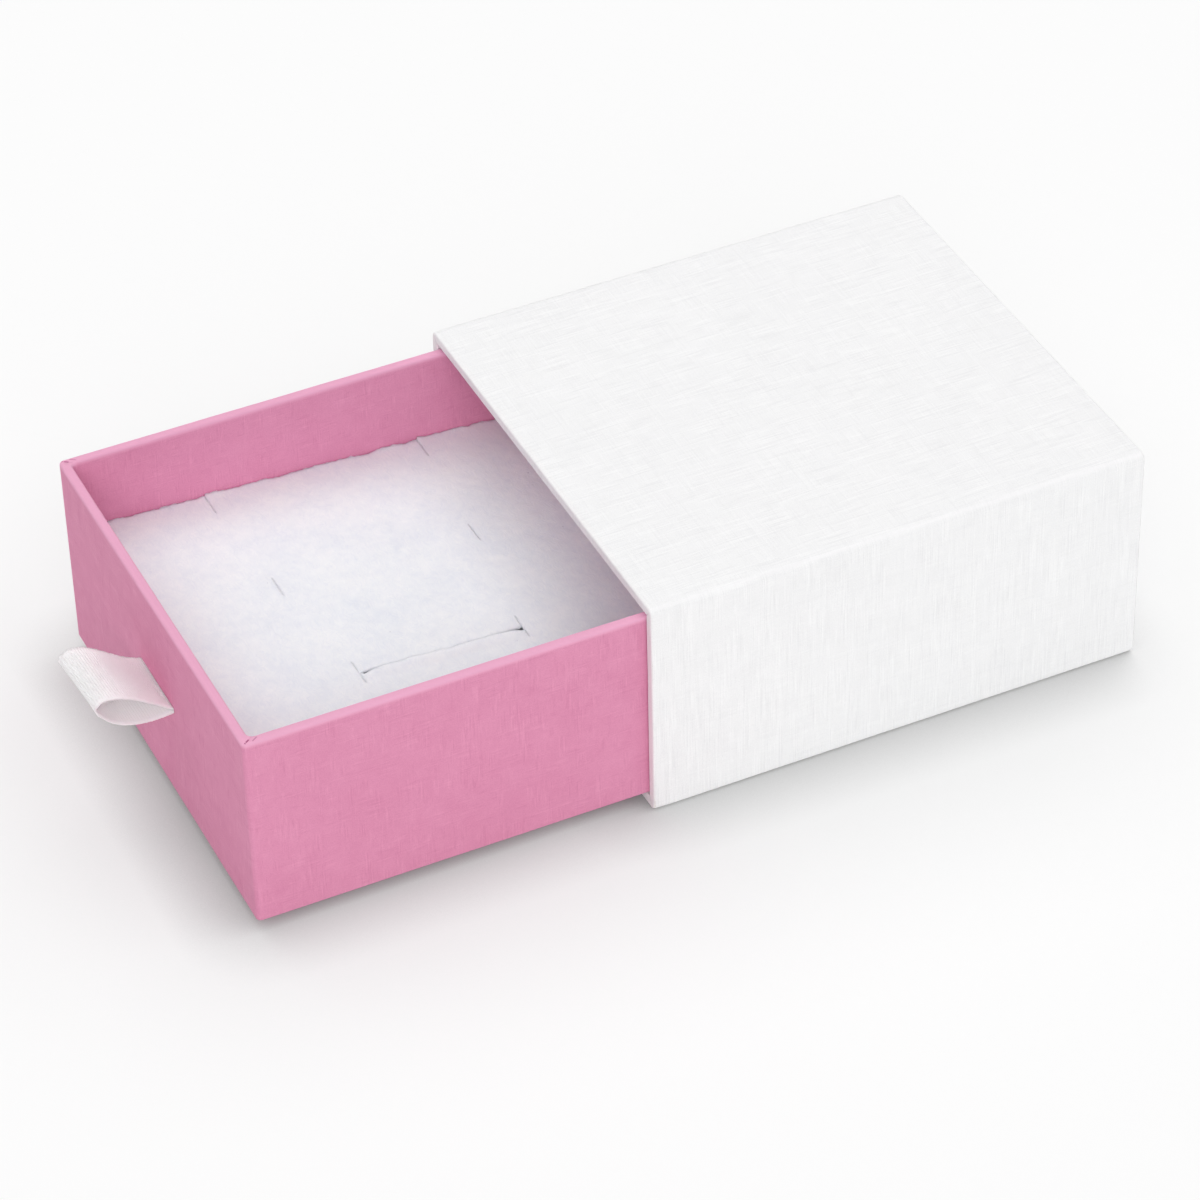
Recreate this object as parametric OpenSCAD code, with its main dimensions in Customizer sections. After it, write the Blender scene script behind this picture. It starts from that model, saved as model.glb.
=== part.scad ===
// Sliding drawer gift box: a paper-covered rigid sleeve and the tray that slides out of it.
// Millimetres, +Z up. The origin is the middle of the sleeve's underside.
// The drawer opens towards -Y and is drawn half open, as it stands at rest.

/* [Sleeve] */
// Width of the sleeve, side to side
sleeve_width = 75.6; // [60:0.2:110]
// Depth of the sleeve, mouth to back
sleeve_depth = 80; // [66:0.5:120]
// Height of the sleeve
sleeve_height = 37.4; // [31:0.2:60]
// Thickness of the sleeve's board
sleeve_board = 1.4; // [1:0.1:2.2]
// Radius of the sleeve's four long edges, over the paper
sleeve_round = 1.2; // [0.6:0.1:1.5]
// How far the covering paper turns in at the mouth
mouth_turn_in = 14; // [6:0.5:20]
// Width of the paper margins folded onto the back
back_margin = 9; // [4:0.5:12]
// How far the back sheet stays inside the back's outline
sheet_inset = 1.5; // [0.5:0.1:3]

/* [Drawer] */
// Thickness of the drawer's board
drawer_board = 1.2; // [0.8:0.1:2]
// Radius of the drawer's upright edges, over the paper
drawer_round = 0.8; // [0.4:0.05:1]
// Running gap between the drawer and the sleeve at each side
side_gap = 0.3; // [0.15:0.05:0.6]
// Running gap under the drawer
floor_gap = 0.5; // [0.2:0.05:0.8]
// Running gap over the drawer's rim
top_gap = 0.6; // [0.2:0.05:1]
// Gap between the shut drawer and the back of the sleeve
rear_gap = 0.4; // [0.2:0.1:1.5]
// How far the drawer stands out of the mouth at rest
drawer_open = 61; // [0:0.5:62]

/* [Papers] */
// Thickness of the linen-textured covering paper
cover_paper = 0.16; // [0.1:0.02:0.3]
// Thickness of the plain lining paper
lining_paper = 0.12; // [0.08:0.02:0.2]
// Thickness of the tape that joins the boards
tape_thick = 0.1; // [0.06:0.02:0.16]
// Width of each leg of the tape, from the edge it covers
tape_leg = 7; // [4:0.5:9]

/* [Ribbon] */
// Width of the ribbon
ribbon_width = 12.7; // [8:0.1:20]
// Thickness of one ply of the ribbon
ribbon_thick = 0.35; // [0.2:0.05:0.6]
// Gap between the ribbon's two plies where they lie together
ply_gap = 0.06; // [0.02:0.02:0.1]
// Place of the ribbon's middle, across the front panel
ribbon_offset = 0.8; // [-10:0.1:10]
// Depth of the ribbon's slot below the drawer's rim
slot_below_rim = 15.5; // [14:0.5:18]
// Clearance of the slot round the ribbon, each way
slot_clearance = 0.15; // [0.1:0.05:0.4]
// How far the ribbon's loop stands out of the front panel
loop_reach = 11.7; // [8:0.1:20]
// How far the loop rises above its slot
loop_rise = 5.8; // [3:0.1:9]
// Height of the glued tails' ends above the drawer's floor
tail_floor_gap = 5.9; // [2:0.1:8]
// Width of the patch stuck over the tails, beyond each edge of the ribbon
patch_margin = 4; // [2:0.5:8]

/* [Pad] */
// Depth of the pad's surface below the drawer's rim, at the pad's middle
pad_recess = 13.7; // [8:0.1:15]
// How much the pad's surface rises from its back edge to its front edge
pad_rise = 3; // [0:0.1:4]
// Gap between the pad and the drawer's walls
pad_gap = 0.15; // [0.05:0.05:0.5]
// Thickness of the flocked sheet on the pad
flock_thick = 0.8; // [0.4:0.1:1.5]
// Depth of the small slits in the pad
slit_depth = 8; // [4:0.5:10]
// Width of the small slits
slit_width = 0.5; // [0.3:0.1:1]
// Length of the small slits
slit_length = 5; // [3:0.5:8]
// Distance between the two small slits, front to back
slit_spacing = 31.5; // [28:0.5:40]
// Place of the small slits, across the pad
slit_offset = -9.2; // [-14:0.2:0]
// Distance between the two slits that start at the left wall
edge_slit_spacing = 34.6; // [30:0.5:44]
// Length of the long slot, front to back
ring_slot_length = 26.2; // [18:0.2:30]
// Width of the long slot
ring_slot_width = 1.8; // [1:0.1:3]
// Thickness of the foam left under the long slot
ring_slot_floor = 5.5; // [2:0.5:10]
// Length of the cross cut at each end of the long slot
ring_cross_length = 5.7; // [4:0.1:8]
// Place of the long slot, across the pad
ring_slot_offset = 13.8; // [8:0.2:22]

/* [Hidden] */
$fn = 48;

// Sleeve: distances in from its outside to each layer
board_in = cover_paper + sleeve_board;
mouth_in = board_in + cover_paper;
mouth_y = -sleeve_depth / 2;
back_y = sleeve_depth / 2;
board_front_y = mouth_y + cover_paper;
board_back_y = back_y - 2 * cover_paper;
back_board_y = board_back_y - sleeve_board;
turn_in_y = mouth_y + mouth_turn_in;

// Drawer: outside sizes, from the sleeve's inside and the running gaps
drawer_width = sleeve_width - 2 * (mouth_in + side_gap);
drawer_low = mouth_in + floor_gap;
drawer_top = sleeve_height - mouth_in - top_gap;
drawer_length = back_board_y - lining_paper - rear_gap - mouth_y;
front_y = mouth_y - drawer_open;
rear_y = front_y + drawer_length;
middle_y = (front_y + rear_y) / 2;

// Drawer: distances in from its outside to each layer, and its heights
drawer_board_in = cover_paper + drawer_board;
drawer_wall = drawer_board_in + cover_paper;
base_low = drawer_low + cover_paper;
base_top = base_low + drawer_board;
well_floor = base_top + lining_paper;
wall_top = drawer_top - cover_paper;
inside_front_y = front_y + drawer_wall;

// Ribbon: its slot, its plies and its tails
slot_z = drawer_top - slot_below_rim;
ply_step = ribbon_thick + ply_gap;
slot_height = ribbon_thick + ply_step + 2 * slot_clearance;
slot_width = ribbon_width + 2 * slot_clearance;
tail_glue = 0.03;
lower_tail_y = inside_front_y + tail_glue + ribbon_thick / 2;
upper_tail_y = lower_tail_y + ply_step;
tail_end_z = well_floor + tail_floor_gap;
curve_steps = 10;

// Ribbon loop: curve handles as shares of loop_reach and loop_rise, from the slot's middle
loop_upper = [[0.31, 0.5], [0.62, 1.03], [0.85, 0.99]];
loop_nose = [[1, 0.96], [1.03, 0.76], [0.93, 0.57]];
loop_lower = [[0.77, 0.24], [0.45, -0.07]];

// Patch over the tails
patch_y = upper_tail_y + ribbon_thick / 2;
patch_half = ribbon_width / 2 + slot_clearance;
patch_top_z = slot_z - 1.5;
patch_low_z = tail_end_z - 1;

// Pad
pad_width = drawer_width - 2 * (drawer_wall + pad_gap);
pad_front_y = inside_front_y + pad_gap;
pad_back_y = rear_y - drawer_wall - pad_gap;
pad_top_z = drawer_top - pad_recess;
ring_slot_depth = pad_top_z - well_floor - ring_slot_floor;
pocket_clearance = 0.3;
pocket_back_y = patch_y + cover_paper + pocket_clearance;
cut_over = 1;

// ---- Colours ----

module greyboard() { color([0.60, 0.57, 0.53]) children(); }
module white_paper() { color([0.95, 0.95, 0.96]) children(); }
module pink_paper() { color([0.87, 0.56, 0.70]) children(); }
module kraft_tape() { color([0.80, 0.72, 0.60]) children(); }

// ---- Shapes ----

// A box between two corners
module block(low, high) {
    translate(low) cube(high - low);
}

// A rectangle about the origin with round corners
module round_rectangle(width, height, radius) {
    square([width - 2 * radius, height], center = true);
    square([width, height - 2 * radius], center = true);
    for (x = [-1, 1], y = [-1, 1])
        translate([x * (width / 2 - radius), y * (height / 2 - radius)]) circle(radius);
}

// An outline drawn in X and Z, carried along Y
module along_y(from, to) {
    translate([0, to, 0]) rotate([90, 0, 0]) linear_extrude(to - from) children();
}

// An outline drawn in Y and Z, carried along X
module along_x(from, to) {
    translate([from, 0, 0]) rotate([90, 0, 90]) linear_extrude(to - from) children();
}

// An outline drawn in X and Y, carried up Z
module along_z(from, to) {
    translate([0, 0, from]) linear_extrude(to - from) children();
}

// ---- Sleeve outlines, in X and Z ----

// The sleeve's outline, a distance in from its outside
module sleeve_outline(inset) {
    translate([0, sleeve_height / 2])
        round_rectangle(sleeve_width - 2 * inset, sleeve_height - 2 * inset, sleeve_round - inset);
}

// The square-cornered space inside a layer of the sleeve
module sleeve_inside(inset) {
    translate([0, sleeve_height / 2])
        square([sleeve_width - 2 * inset, sleeve_height - 2 * inset], center = true);
}

// The tapes round the sleeve's four long edges
module sleeve_tape_outline() {
    intersection() {
        difference() {
            sleeve_outline(cover_paper);
            sleeve_outline(cover_paper + tape_thick);
        }
        for (x = [-1, 1], z = [0, 1])
            translate([x * sleeve_width / 2, z * sleeve_height])
                square(2 * tape_leg, center = true);
    }
}

// The boards' outline, pressed in where the tapes lie
module sleeve_board_outline() {
    difference() {
        sleeve_outline(cover_paper);
        sleeve_tape_outline();
    }
}

module sleeve_wall(x_from, x_to, z_from, z_to) {
    along_y(board_front_y, board_back_y)
        intersection() {
            sleeve_board_outline();
            translate([x_from, z_from]) square([x_to - x_from, z_to - z_from]);
        }
}

// ---- Sleeve ----

module sleeve_top_board() {
    greyboard()
        sleeve_wall(-sleeve_width / 2, sleeve_width / 2, sleeve_height - board_in, sleeve_height);
}

module sleeve_bottom_board() {
    greyboard() sleeve_wall(-sleeve_width / 2, sleeve_width / 2, 0, board_in);
}

module sleeve_left_board() {
    greyboard()
        sleeve_wall(-sleeve_width / 2, board_in - sleeve_width / 2, board_in, sleeve_height - board_in);
}

module sleeve_right_board() {
    greyboard()
        sleeve_wall(sleeve_width / 2 - board_in, sleeve_width / 2, board_in, sleeve_height - board_in);
}

// The back stands between the other four boards
module sleeve_back_board() {
    greyboard() along_y(back_board_y, board_back_y) sleeve_inside(board_in);
}

module sleeve_edge_tapes() {
    kraft_tape() along_y(board_front_y, board_back_y) sleeve_tape_outline();
}

// One paper: round the outside, over the boards' front edges, in at the mouth,
// and folded onto the back as four margins
module sleeve_wrap() {
    white_paper()
        difference() {
            along_y(mouth_y, back_y - cover_paper) sleeve_outline(0);
            along_y(board_front_y, board_back_y)
                difference() {
                    sleeve_outline(cover_paper);
                    sleeve_inside(board_in);
                }
            along_y(mouth_y - cut_over, turn_in_y) sleeve_inside(mouth_in);
            along_y(turn_in_y, board_back_y) sleeve_inside(board_in);
            along_y(board_back_y - cut_over, back_y) sleeve_inside(back_margin);
        }
}

// The sheet that closes the back, pressed onto the board inside the margins
module sleeve_back_sheet() {
    white_paper() {
        along_y(back_y - cover_paper, back_y) sleeve_inside(sheet_inset);
        along_y(board_back_y, back_y - cover_paper) sleeve_inside(back_margin);
    }
}

module sleeve_lining() {
    white_paper() {
        along_y(turn_in_y, back_board_y)
            difference() {
                sleeve_inside(board_in);
                sleeve_inside(board_in + lining_paper);
            }
        along_y(back_board_y - lining_paper, back_board_y) sleeve_inside(board_in);
    }
}

// ---- Drawer outlines, in X and Y ----

// The drawer's outline, a distance in from its outside
module drawer_outline(inset) {
    translate([0, middle_y])
        round_rectangle(drawer_width - 2 * inset, drawer_length - 2 * inset, drawer_round - inset);
}

// The square-cornered space inside a layer of the drawer
module drawer_inside(inset) {
    translate([0, middle_y])
        square([drawer_width - 2 * inset, drawer_length - 2 * inset], center = true);
}

// The tapes round the drawer's four upright edges
module drawer_tape_outline() {
    intersection() {
        difference() {
            drawer_outline(cover_paper);
            drawer_outline(cover_paper + tape_thick);
        }
        for (x = [-1, 1], y = [front_y, rear_y])
            translate([x * drawer_width / 2, y]) square(2 * tape_leg, center = true);
    }
}

// The boards' outline, pressed in where the tapes lie
module drawer_board_outline() {
    difference() {
        drawer_outline(cover_paper);
        drawer_tape_outline();
    }
}

module drawer_wall_board(x_from, x_to, y_from, y_to) {
    along_z(base_top, wall_top)
        intersection() {
            drawer_board_outline();
            translate([x_from, y_from]) square([x_to - x_from, y_to - y_from]);
        }
}

// The slot for the ribbon, right through the front
module ribbon_slot() {
    block(
        [ribbon_offset - slot_width / 2, front_y - cut_over, slot_z - slot_height / 2],
        [ribbon_offset + slot_width / 2, inside_front_y + cut_over, slot_z + slot_height / 2]
    );
}

// ---- Drawer ----

module drawer_base_board() {
    greyboard() along_z(base_low, base_top) drawer_board_outline();
}

module drawer_front_board() {
    greyboard()
        difference() {
            drawer_wall_board(-drawer_width / 2, drawer_width / 2, front_y, front_y + drawer_board_in);
            ribbon_slot();
        }
}

module drawer_back_board() {
    greyboard()
        drawer_wall_board(-drawer_width / 2, drawer_width / 2, rear_y - drawer_board_in, rear_y);
}

// The side boards stand between the front and the back
module drawer_left_board() {
    greyboard()
        drawer_wall_board(
            -drawer_width / 2, drawer_board_in - drawer_width / 2,
            front_y + drawer_board_in, rear_y - drawer_board_in
        );
}

module drawer_right_board() {
    greyboard()
        drawer_wall_board(
            drawer_width / 2 - drawer_board_in, drawer_width / 2,
            front_y + drawer_board_in, rear_y - drawer_board_in
        );
}

module drawer_corner_tapes() {
    kraft_tape() along_z(base_low, wall_top) drawer_tape_outline();
}

// One paper: under the base, up the outside, over the rim and down the inside
module drawer_wrap() {
    pink_paper()
        difference() {
            along_z(drawer_low, drawer_top) drawer_outline(0);
            along_z(base_low, well_floor) drawer_outline(cover_paper);
            along_z(well_floor, wall_top)
                difference() {
                    drawer_outline(cover_paper);
                    drawer_inside(drawer_board_in);
                }
            along_z(well_floor, drawer_top + cut_over) drawer_inside(drawer_wall);
            ribbon_slot();
        }
}

module drawer_base_liner() {
    pink_paper() along_z(base_top, well_floor) drawer_inside(drawer_board_in);
}

// ---- Ribbon ----

// A point at share t of a cubic curve through four handles
function curve_point(p, t) =
    pow(1 - t, 3) * p[0] + 3 * pow(1 - t, 2) * t * p[1]
    + 3 * (1 - t) * pow(t, 2) * p[2] + pow(t, 3) * p[3];

// The curve's points after its first
function curve_run(p) = [for (i = [1 : curve_steps]) curve_point(p, i / curve_steps)];

// A handle of the loop, given in shares of its reach and rise
function loop_handle(share) = [front_y - share[0] * loop_reach, slot_z + share[1] * loop_rise];

function unit(v) = v / norm(v);

// A point beside point i of a path, at a distance to its left
function beside(path, i, distance) =
    let (
        way_in = unit(path[max(i, 1)] - path[max(i, 1) - 1]),
        way_out = unit(path[min(i, len(path) - 2) + 1] - path[min(i, len(path) - 2)]),
        way = unit(way_in + way_out)
    )
    path[i] + [-way[1], way[0]] * distance / (way * way_in);

// The outline of a band of even thickness along a path
function band(path, thickness) = concat(
    [for (i = [0 : len(path) - 1]) beside(path, i, thickness / 2)],
    [for (i = [len(path) - 1 : -1 : 0]) beside(path, i, -thickness / 2)]
);

// The middle of the ribbon from one tail, out through the slot, round the loop and back
function ribbon_path() =
    let (
        upper_out = [front_y, slot_z + ply_step / 2],
        lower_out = [front_y, slot_z - ply_step / 2],
        upper = [for (share = loop_upper) loop_handle(share)],
        nose = [for (share = loop_nose) loop_handle(share)],
        lower = [for (share = loop_lower) loop_handle(share)]
    )
    concat(
        [[upper_tail_y, tail_end_z], [upper_tail_y, slot_z + ply_step / 2], upper_out],
        curve_run(concat([upper_out], upper)),
        curve_run(concat([upper[2]], nose)),
        curve_run(concat([nose[2]], lower, [lower_out])),
        [[lower_tail_y, slot_z - ply_step / 2], [lower_tail_y, tail_end_z]]
    );

module ribbon_pull() {
    color([0.96, 0.96, 0.97])
        along_x(ribbon_offset - ribbon_width / 2, ribbon_offset + ribbon_width / 2)
            polygon(band(ribbon_path(), ribbon_thick));
}

// A paper patch over both tails, stepped down to the wall at each side
module ribbon_tail_patch() {
    step_x = patch_half + cover_paper;
    pink_paper()
        translate([ribbon_offset, 0, 0])
            along_z(patch_low_z, patch_top_z) {
                translate([-step_x, patch_y]) square([2 * step_x, cover_paper]);
                for (side = [-1, 1]) {
                    translate([side * (step_x - cover_paper / 2), (inside_front_y + patch_y) / 2])
                        square([cover_paper, patch_y - inside_front_y], center = true);
                    translate([side * (step_x + patch_margin / 2), inside_front_y + cover_paper / 2])
                        square([patch_margin, cover_paper], center = true);
                }
            }
}

// ---- Pad ----

// Height of the pad's surface, which rises towards the front
function pad_surface(y) = pad_top_z + pad_rise * (middle_y - y) / (pad_back_y - pad_front_y);

// The pad's side outline between two depths below its surface
module pad_layer(low_front, low_back, below) {
    along_x(-pad_width / 2, pad_width / 2)
        polygon([
            [pad_front_y, low_front],
            [pad_back_y, low_back],
            [pad_back_y, pad_surface(pad_back_y) - below],
            [pad_front_y, pad_surface(pad_front_y) - below]
        ]);
}

// A straight cut down from the pad's surface, about a place on it
module pad_cut(x, y, size, depth) {
    block(
        [x - size[0] / 2, y - size[1] / 2, pad_top_z - depth],
        [x + size[0] / 2, y + size[1] / 2, drawer_top]
    );
}

// Every cut in the pad: two small slits, two slits at the left wall and the long slot
module pad_cuts() {
    for (side = [-1, 1]) {
        pad_cut(slit_offset, middle_y + side * slit_spacing / 2, [slit_length, slit_width], slit_depth);
        pad_cut(
            -pad_width / 2, middle_y + side * edge_slit_spacing / 2,
            [2 * slit_length, slit_width], slit_depth
        );
        pad_cut(
            ring_slot_offset, middle_y + side * (ring_slot_length - slit_width) / 2,
            [ring_cross_length, slit_width], ring_slot_depth
        );
    }
    pad_cut(
        ring_slot_offset, middle_y,
        [ring_slot_width, ring_slot_length - slit_width], ring_slot_depth
    );
}

// The foam block, with a pocket at its front for the ribbon's tails and their patch
module foam_pad() {
    pocket_half = patch_half + cover_paper + patch_margin + pocket_clearance;
    color([0.93, 0.92, 0.95])
        difference() {
            pad_layer(well_floor, well_floor, flock_thick);
            pad_cuts();
            block(
                [ribbon_offset - pocket_half, pad_front_y - cut_over, patch_low_z - pocket_clearance],
                [ribbon_offset + pocket_half, pocket_back_y, slot_z + slot_height / 2 + pocket_clearance]
            );
        }
}

module flocked_top() {
    color([0.90, 0.89, 0.93])
        difference() {
            pad_layer(
                pad_surface(pad_front_y) - flock_thick, pad_surface(pad_back_y) - flock_thick, 0
            );
            pad_cuts();
        }
}

sleeve_top_board();
sleeve_bottom_board();
sleeve_left_board();
sleeve_right_board();
sleeve_back_board();
sleeve_edge_tapes();
sleeve_wrap();
sleeve_back_sheet();
sleeve_lining();
drawer_base_board();
drawer_front_board();
drawer_back_board();
drawer_left_board();
drawer_right_board();
drawer_corner_tapes();
drawer_wrap();
drawer_base_liner();
ribbon_pull();
ribbon_tail_patch();
foam_pad();
flocked_top();
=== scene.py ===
"""A sliding drawer gift box: a white paper-covered sleeve and the pink tray that slides out of it.

Metres, +Z up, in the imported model's frame: the sleeve stands on z = 0 and its mouth faces -Y.
"""

import math
import random

import bmesh
import bpy
import numpy as np
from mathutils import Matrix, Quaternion, Vector, geometry, noise

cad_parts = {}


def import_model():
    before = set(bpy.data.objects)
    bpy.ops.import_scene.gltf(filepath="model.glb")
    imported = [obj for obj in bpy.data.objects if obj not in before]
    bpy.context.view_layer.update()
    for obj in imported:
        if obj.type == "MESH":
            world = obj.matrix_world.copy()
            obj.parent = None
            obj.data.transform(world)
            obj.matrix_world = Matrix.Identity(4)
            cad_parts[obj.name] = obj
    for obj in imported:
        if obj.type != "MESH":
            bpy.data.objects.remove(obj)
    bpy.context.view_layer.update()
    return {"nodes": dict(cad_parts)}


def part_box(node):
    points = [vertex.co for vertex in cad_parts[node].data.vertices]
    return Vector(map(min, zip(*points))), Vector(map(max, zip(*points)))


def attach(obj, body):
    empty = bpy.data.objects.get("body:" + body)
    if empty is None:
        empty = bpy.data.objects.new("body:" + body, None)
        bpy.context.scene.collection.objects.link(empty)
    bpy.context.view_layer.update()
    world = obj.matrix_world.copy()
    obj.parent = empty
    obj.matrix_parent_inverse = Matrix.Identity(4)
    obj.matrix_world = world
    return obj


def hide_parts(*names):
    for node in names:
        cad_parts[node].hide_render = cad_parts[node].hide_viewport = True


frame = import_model()

MM = 0.001
X, Y, Z = Vector((1, 0, 0)), Vector((0, 1, 0)), Vector((0, 0, 1))

# ---- Sizes read from the frame ----

SLEEVE_LOW, SLEEVE_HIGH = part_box("sleeve_wrap")
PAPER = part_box("sleeve_left_board")[0].x - SLEEVE_LOW.x
SLEEVE_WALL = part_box("sleeve_back_board")[0].x - SLEEVE_LOW.x + PAPER
TURN_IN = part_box("sleeve_lining")[0].y - SLEEVE_LOW.y

DRAWER_LOW, DRAWER_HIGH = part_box("drawer_wrap")
DRAWER_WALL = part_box("drawer_left_board")[1].x - DRAWER_LOW.x + PAPER
FOAM_LOW, FOAM_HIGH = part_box("foam_pad")
FLOCK_LOW, FLOCK_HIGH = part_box("flocked_top")
FLOCK_THICK = FLOCK_HIGH.z - FOAM_HIGH.z
RIBBON_LOW, RIBBON_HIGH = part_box("ribbon_pull")
PATCH_LOW, PATCH_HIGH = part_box("ribbon_tail_patch")

# ---- Sizes that the boxes don't give ----

BACK_MARGIN = 9 * MM
SLEEVE_ROUND = 1.2 * MM
MOUTH_ROUND = 0.36 * MM
DRAWER_ROUND = 0.8 * MM
RIM_ROUND = 0.42 * MM
FOOT_ROUND = 0.35 * MM
INNER_FOLD = 0.9 * MM
PANEL_STEP = 2.5 * MM

SLOT_Z = DRAWER_HIGH.z - 15.5 * MM
SLOT_HEIGHT = 1.06 * MM
SLOT_CLEARANCE = 0.15 * MM
RIBBON_THICK = 0.35 * MM
PLY_GAP = 0.06 * MM
TAIL_GLUE = 0.03 * MM

SLIT_DEPTH = 8 * MM
SLIT_LENGTH = 5 * MM
SLIT_X = -9.2 * MM
SLIT_SPACING = 31.5 * MM
EDGE_SLIT_SPACING = 34.6 * MM
LONG_SLOT_X = 13.8 * MM
LONG_SLOT_LENGTH = 26.2 * MM
CROSS_CUT_LENGTH = 5.7 * MM
CUT_WIDTH = 0.5 * MM

# ---- Node helpers ----


def feed(tree, socket, value):
    """Links an input to an output, or gives it a plain value."""
    if isinstance(value, bpy.types.NodeSocket):
        tree.links.new(value, socket)
    else:
        socket.default_value = value


def add(tree, kind, inputs=None, **settings):
    """Adds a node with its settings, and feeds its inputs."""
    node = tree.nodes.new("ShaderNode" + kind)
    for name, value in settings.items():
        setattr(node, name, value)
    for name, value in (inputs or {}).items():
        feed(tree, node.inputs[name], value)
    return node


def calc(tree, operation, a, b=0.0, c=0.0):
    """The result of a Math node."""
    return add(tree, "Math", {0: a, 1: b, 2: c}, operation=operation).outputs[0]


def stretched(tree, vector, sizes):
    """A position divided by a size in metres along each axis."""
    shares = [1 / size for size in sizes]
    return add(tree, "VectorMath", {0: vector, 1: shares}, operation="MULTIPLY").outputs[0]


def cloudy(tree, place, detail, distortion=0.0):
    """Noise from 0 to 1 over a place that is already divided by the noise's size."""
    inputs = {"Vector": place, "Scale": 1.0, "Detail": detail, "Distortion": distortion}
    return add(tree, "TexNoise", inputs).outputs[0]


def eased(tree, value, low, high):
    """A value taken smoothly from 0 at low to 1 at high."""
    inputs = {"Value": value, "From Min": low, "From Max": high}
    return add(tree, "MapRange", inputs, interpolation_type="SMOOTHSTEP").outputs[0]


def blended(tree, share, first, second):
    """A colour between two others."""
    mix = add(tree, "Mix", data_type="RGBA")
    for socket, value in zip([s for s in mix.inputs if s.enabled], (share, first, second)):
        feed(tree, socket, value)
    return next(s for s in mix.outputs if s.enabled)


def new_group(name, inputs, outputs):
    """A shader node group with named sockets: its tree, its inputs and its output node."""
    tree = bpy.data.node_groups.new(name, "ShaderNodeTree")
    for direction, sockets in (("INPUT", inputs), ("OUTPUT", outputs)):
        for label, kind in sockets:
            tree.interface.new_socket(label, in_out=direction, socket_type="NodeSocket" + kind)
    given = tree.nodes.new("NodeGroupInput")
    result = tree.nodes.new("NodeGroupOutput")
    return tree, given.outputs, result


def place_group(tree, group, inputs):
    """A group placed in a material, with its own values."""
    node = tree.nodes.new("ShaderNodeGroup")
    node.node_tree = group
    for name, value in inputs.items():
        feed(tree, node.inputs[name], value)
    return node.outputs


def lets_light_in(shader, weight, radius, scale):
    """Lets light scatter under a surface, so many metres deep in red, green and blue."""
    shader.inputs["Subsurface Weight"].default_value = weight
    shader.inputs["Subsurface Radius"].default_value = radius
    shader.inputs["Subsurface Scale"].default_value = scale


def new_material(name, roughness, specular=0.5, sheen=0.0):
    """A material with a Principled shader: its tree, its shader and its place on the object."""
    material = bpy.data.materials.new(name)
    material.use_nodes = True
    tree = material.node_tree
    shader = tree.nodes["Principled BSDF"]
    shader.inputs["Roughness"].default_value = roughness
    shader.inputs["Specular IOR Level"].default_value = specular
    shader.inputs["Sheen Weight"].default_value = sheen
    return material, tree, shader, add(tree, "TexCoord").outputs


def relief(tree, shader, height, depth):
    """Gives a shader the relief of a height from 0 to 1, so many metres deep."""
    inputs = {"Height": height, "Distance": depth, "Strength": 1.0}
    tree.links.new(add(tree, "Bump", inputs).outputs[0], shader.inputs["Normal"])


def rgb(red, green, blue):
    """A colour given as the 0 to 255 values it shows as."""
    shares = [value / 255 for value in (red, green, blue)]
    linear = [s / 12.92 if s < 0.04045 else ((s + 0.055) / 1.055) ** 2.4 for s in shares]
    return (*linear, 1)


# ---- Node groups ----

LINEN_PATCH = 1.3 * MM
LINEN_PATCH_FADE = 0.2
LINEN_TOP_FADE = 0.45
LINEN_LINE_GAIN = 5.0
LINEN_GRAIN = 0.17 * MM
LINEN_GRAIN_GAIN = 4.0
LINEN_GRAIN_SHARE = 0.75
MOTTLE_GAIN = 4.0


def swing(tree, value, gain):
    """A noise value from 0 to 1, turned into one round 0 and held between -1 and 1."""
    wide = calc(tree, "MULTIPLY_ADD", value, gain, -gain / 2)
    return calc(tree, "MINIMUM", calc(tree, "MAXIMUM", wide, -1.0), 1.0)


def divided_by(tree, vector, axis, across, along):
    """A position divided by one size along an axis, and by another along the two others."""
    sizes = add(tree, "CombineXYZ", {i: across if i == axis else along for i in range(3)}).outputs[0]
    return add(tree, "VectorMath", {0: vector, 1: sizes}, operation="DIVIDE").outputs[0]


def linen_strokes(tree, given, axis):
    """Strokes that are thin along one axis and long across it, and how far loose patches show them."""
    place = divided_by(tree, given["Position"], axis, given["Line"], given["Stroke"])
    lines = swing(tree, cloudy(tree, place, detail=2.0, distortion=0.3), LINEN_LINE_GAIN)
    place = divided_by(tree, given["Position"], axis, LINEN_PATCH, given["Stroke"])
    covered = calc(tree, "ADD", given["Bare"], LINEN_PATCH_FADE)
    return lines, eased(tree, cloudy(tree, place, detail=2.0), given["Bare"], covered)


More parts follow.
